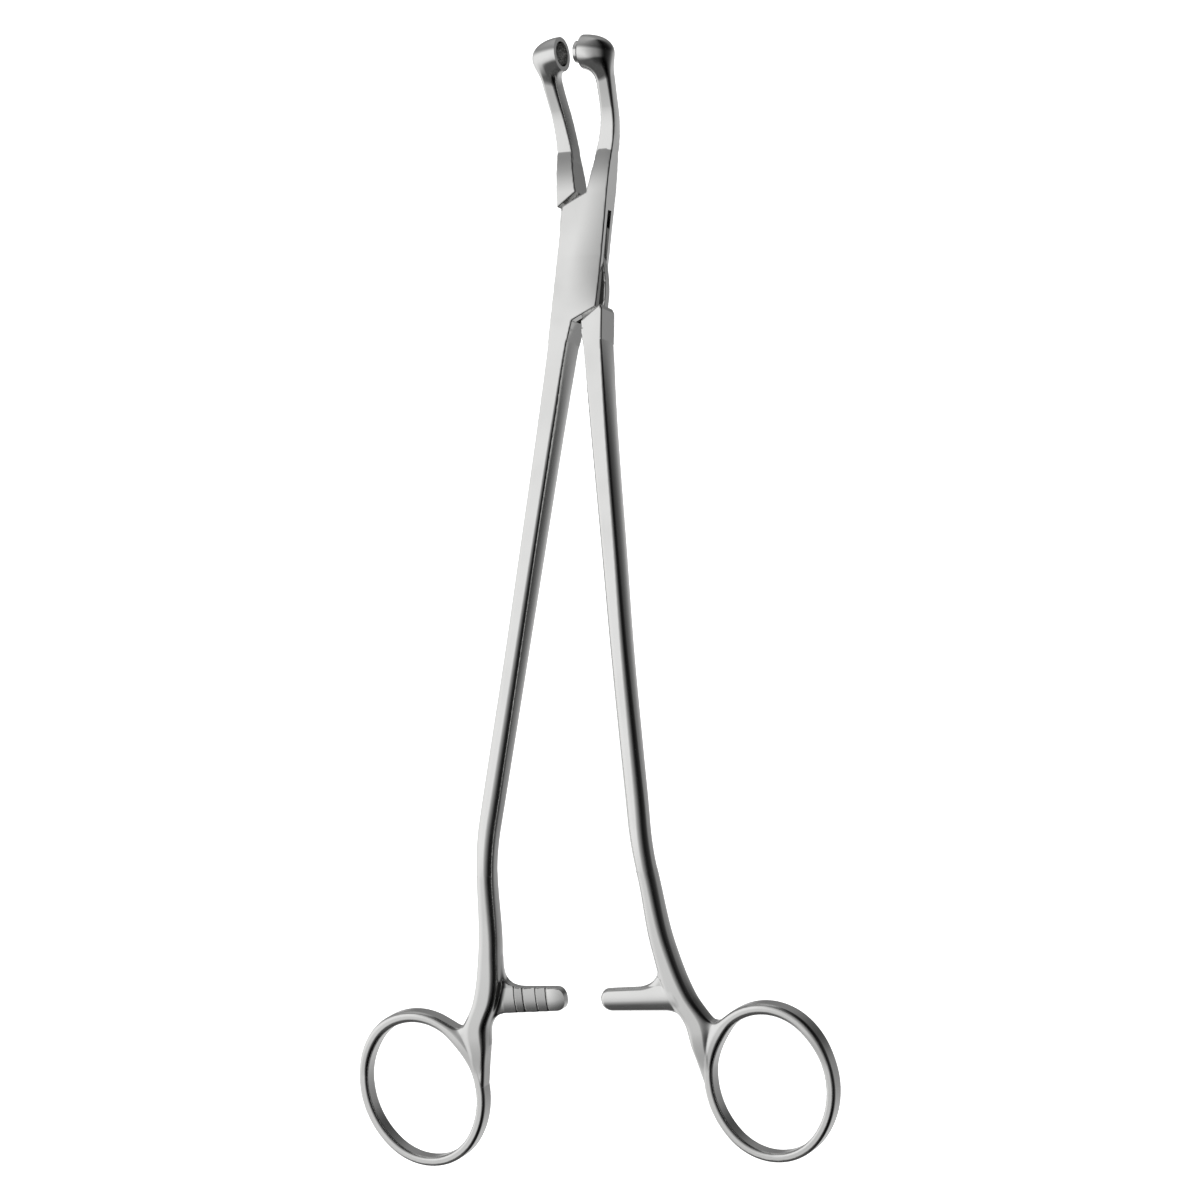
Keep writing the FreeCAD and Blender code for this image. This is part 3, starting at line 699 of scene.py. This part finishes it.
# Share of the direction that points along the part towards the jaws, and a factor on the painted brightness
paintedTentLong = [(-1.0, 0.1), (-0.78, 0.1), (-0.7, 0.32), (-0.6, 0.74), (-0.4, 0.93), (-0.2, 1.0), (0.22, 1.0), (0.3, 0.8),
            (0.42, 0.45), (0.53, 0.3), (0.75, 0.4), (1.0, 0.5)]


def addRamp(tree, stops, value):
    low, high = stops[0][0], stops[-1][0]
    share = addNode(tree, "ShaderNodeMapRange", {"From Min": low, "From Max": high}, Value=value)
    ramp = addNode(tree, "ShaderNodeValToRGB", Fac=share.outputs["Result"])
    elements = ramp.color_ramp.elements
    while len(elements) < len(stops):
        elements.new(0.5)
    for element, (at, shade) in zip(elements, stops):
        element.position = (at - low) / (high - low)
        element.color = (shade, shade, shade, 1)
    return ramp


def tentMaterial():
    material, tree = newMaterial("tentGlowPaintedReflections")
    place = addNode(tree, "ShaderNodeTexCoord")
    unit = addNode(tree, "ShaderNodeVectorMath", {"operation": "NORMALIZE"})
    tree.links.new(place.outputs["Object"], unit.inputs[0])
    parts = addNode(tree, "ShaderNodeSeparateXYZ", Vector=unit.outputs["Vector"])
    angle = addNode(tree, "ShaderNodeMath", {"operation": "ARCTAN2"})
    tree.links.new(parts.outputs["X"], angle.inputs[0])
    tree.links.new(parts.outputs["Z"], angle.inputs[1])
    degrees = addNode(tree, "ShaderNodeMath", {"operation": "DEGREES"})
    tree.links.new(angle.outputs["Value"], degrees.inputs[0])
    aroundPart = addRamp(tree, paintedTentRound, degrees.outputs["Value"])
    alongPart = addRamp(tree, paintedTentLong, parts.outputs["Y"])
    both = addNode(tree, "ShaderNodeVectorMath", {"operation": "MULTIPLY"})
    tree.links.new(aroundPart.outputs["Color"], both.inputs[0])
    tree.links.new(alongPart.outputs["Color"], both.inputs[1])
    # The glow is painted light and shade: bright and dark bands that show only as reflections in the steel
    glow = addNode(tree, "ShaderNodeEmission", {"Strength": 1.0}, Color=both.outputs["Vector"])
    addNode(tree, "ShaderNodeOutputMaterial", Surface=glow.outputs["Emission"])
    material.cycles.emission_sampling = "NONE"
    return material


def stagePiece(name, mesh, material, place):
    mesh.materials.append(material)
    piece = bpy.data.objects.new(name, mesh)
    piece.matrix_world = place
    bpy.context.scene.collection.objects.link(piece)
    return piece


def sheetMesh(name, width):
    half = width / 2
    mesh = bpy.data.meshes.new(name)
    mesh.from_pydata([(-half, -half, 0), (half, -half, 0), (half, half, 0), (-half, half, 0)], [], [(0, 1, 2, 3)])
    return mesh


def tentMesh():
    shape = bmesh.new()
    bmesh.ops.create_icosphere(shape, subdivisions=5, radius=studio["tentRadius"])
    mesh = bpy.data.meshes.new("tent")
    shape.to_mesh(mesh)
    shape.free()
    return mesh


def floorMaterial():
    # Matt white paper: its own light only makes it white to the camera and in reflections
    material, tree = newMaterial("mattWhitePaper")
    seen = seenFlags(tree)
    paper = addNode(tree, "ShaderNodeBsdfDiffuse", {"Color": toLinear(studio["floorColour"])})
    own = addNode(tree, "ShaderNodeEmission", {"Color": (1, 1, 1, 1), "Strength": studio["floorOwnLight"]})
    dark = addNode(tree, "ShaderNodeEmission", {"Color": (0, 0, 0, 1), "Strength": 0.0})
    share = addNode(tree, "ShaderNodeMixShader")
    tree.links.new(seen, share.inputs[0])
    tree.links.new(dark.outputs["Emission"], share.inputs[1])
    tree.links.new(own.outputs["Emission"], share.inputs[2])
    both = addNode(tree, "ShaderNodeAddShader")
    tree.links.new(paper.outputs["BSDF"], both.inputs[0])
    tree.links.new(share.outputs["Shader"], both.inputs[1])
    addNode(tree, "ShaderNodeOutputMaterial", Surface=both.outputs["Shader"])
    return material


def seenFlags(tree):
    path = addNode(tree, "ShaderNodeLightPath")
    seen = path.outputs["Is Camera Ray"]
    for flag in ("Is Glossy Ray", "Is Transmission Ray"):
        more = addNode(tree, "ShaderNodeMath", {"operation": "MAXIMUM"})
        tree.links.new(seen, more.inputs[0])
        tree.links.new(path.outputs[flag], more.inputs[1])
        seen = more.outputs["Value"]
    return seen


def makeWorld():
    world = bpy.data.worlds.new("studio")
    bpy.context.scene.world = world
    world.use_nodes = True
    tree = world.node_tree
    tree.nodes.clear()
    level = addNode(tree, "ShaderNodeMapRange", {"To Min": studio["worldLight"], "To Max": 1.0},
                    Value=seenFlags(tree))
    back = addNode(tree, "ShaderNodeBackground", {"Color": (1, 1, 1, 1)}, Strength=level.outputs["Result"])
    addNode(tree, "ShaderNodeOutputWorld", Surface=back.outputs["Background"])


def makeKey():
    light = bpy.data.lights.new("softbox", "AREA")
    light.size = studio["keySize"]
    light.energy = studio["keyPower"]
    lamp = bpy.data.objects.new("softbox", light)
    bpy.context.scene.collection.objects.link(lamp)
    lamp.location = studio["keyPlace"]
    lamp.rotation_euler = (-Vector(studio["keyPlace"])).to_track_quat("-Z", "Y").to_euler()
    lamp.visible_glossy = False


# Low enough that the opened half, which swings down round its slanted pin, clears it
floor = stagePiece("floor", sheetMesh("floor", studio["floorSize"]), floorMaterial(),
                   Matrix.Translation((0, 0, -studio["floorDrop"])))
floor.visible_glossy = False
# A glowing shell with painted light and shade, seen only in the steel's reflections
tent = stagePiece("tent", tentMesh(), tentMaterial(), lockPlace)
for flag in ("visible_camera", "visible_diffuse", "visible_transmission", "visible_volume_scatter", "visible_shadow"):
    setattr(tent, flag, False)
makeWorld()
makeKey()
print("studio done")


# Camera

view = {"azimuth": 28.066, "elevation": -9.835, "roll": 2.039, "distance": 1213.55, "lens": 194.59,
        "aim": (0.0, -65.0, -4.0), "shift": (0.01466, 0.00191)}


def makeCamera():
    a, e, r = [math.radians(view[k]) for k in ("azimuth", "elevation", "roll")]
    toCamera = Vector((math.sin(a) * math.cos(e), math.sin(e), math.cos(a) * math.cos(e)))
    level = Vector((math.cos(a), 0, -math.sin(a)))
    up = toCamera.cross(level)
    right = level * math.cos(r) + up * math.sin(r)
    up = toCamera.cross(right)
    place = Matrix((right, up, toCamera)).transposed().to_4x4()
    place.translation = (Vector(view["aim"]) + toCamera * view["distance"]) * mm
    data = bpy.data.cameras.new("camera")
    data.sensor_width = 36
    data.lens = view["lens"]
    data.shift_x, data.shift_y = view["shift"]
    data.clip_start = 0.05
    data.clip_end = 20
    camera = bpy.data.objects.new("camera", data)
    bpy.context.scene.collection.objects.link(camera)
    camera.matrix_world = lockPlace @ place
    bpy.context.scene.camera = camera


makeCamera()
bpy.context.scene.view_settings.view_transform = "Standard"
print("camera done")
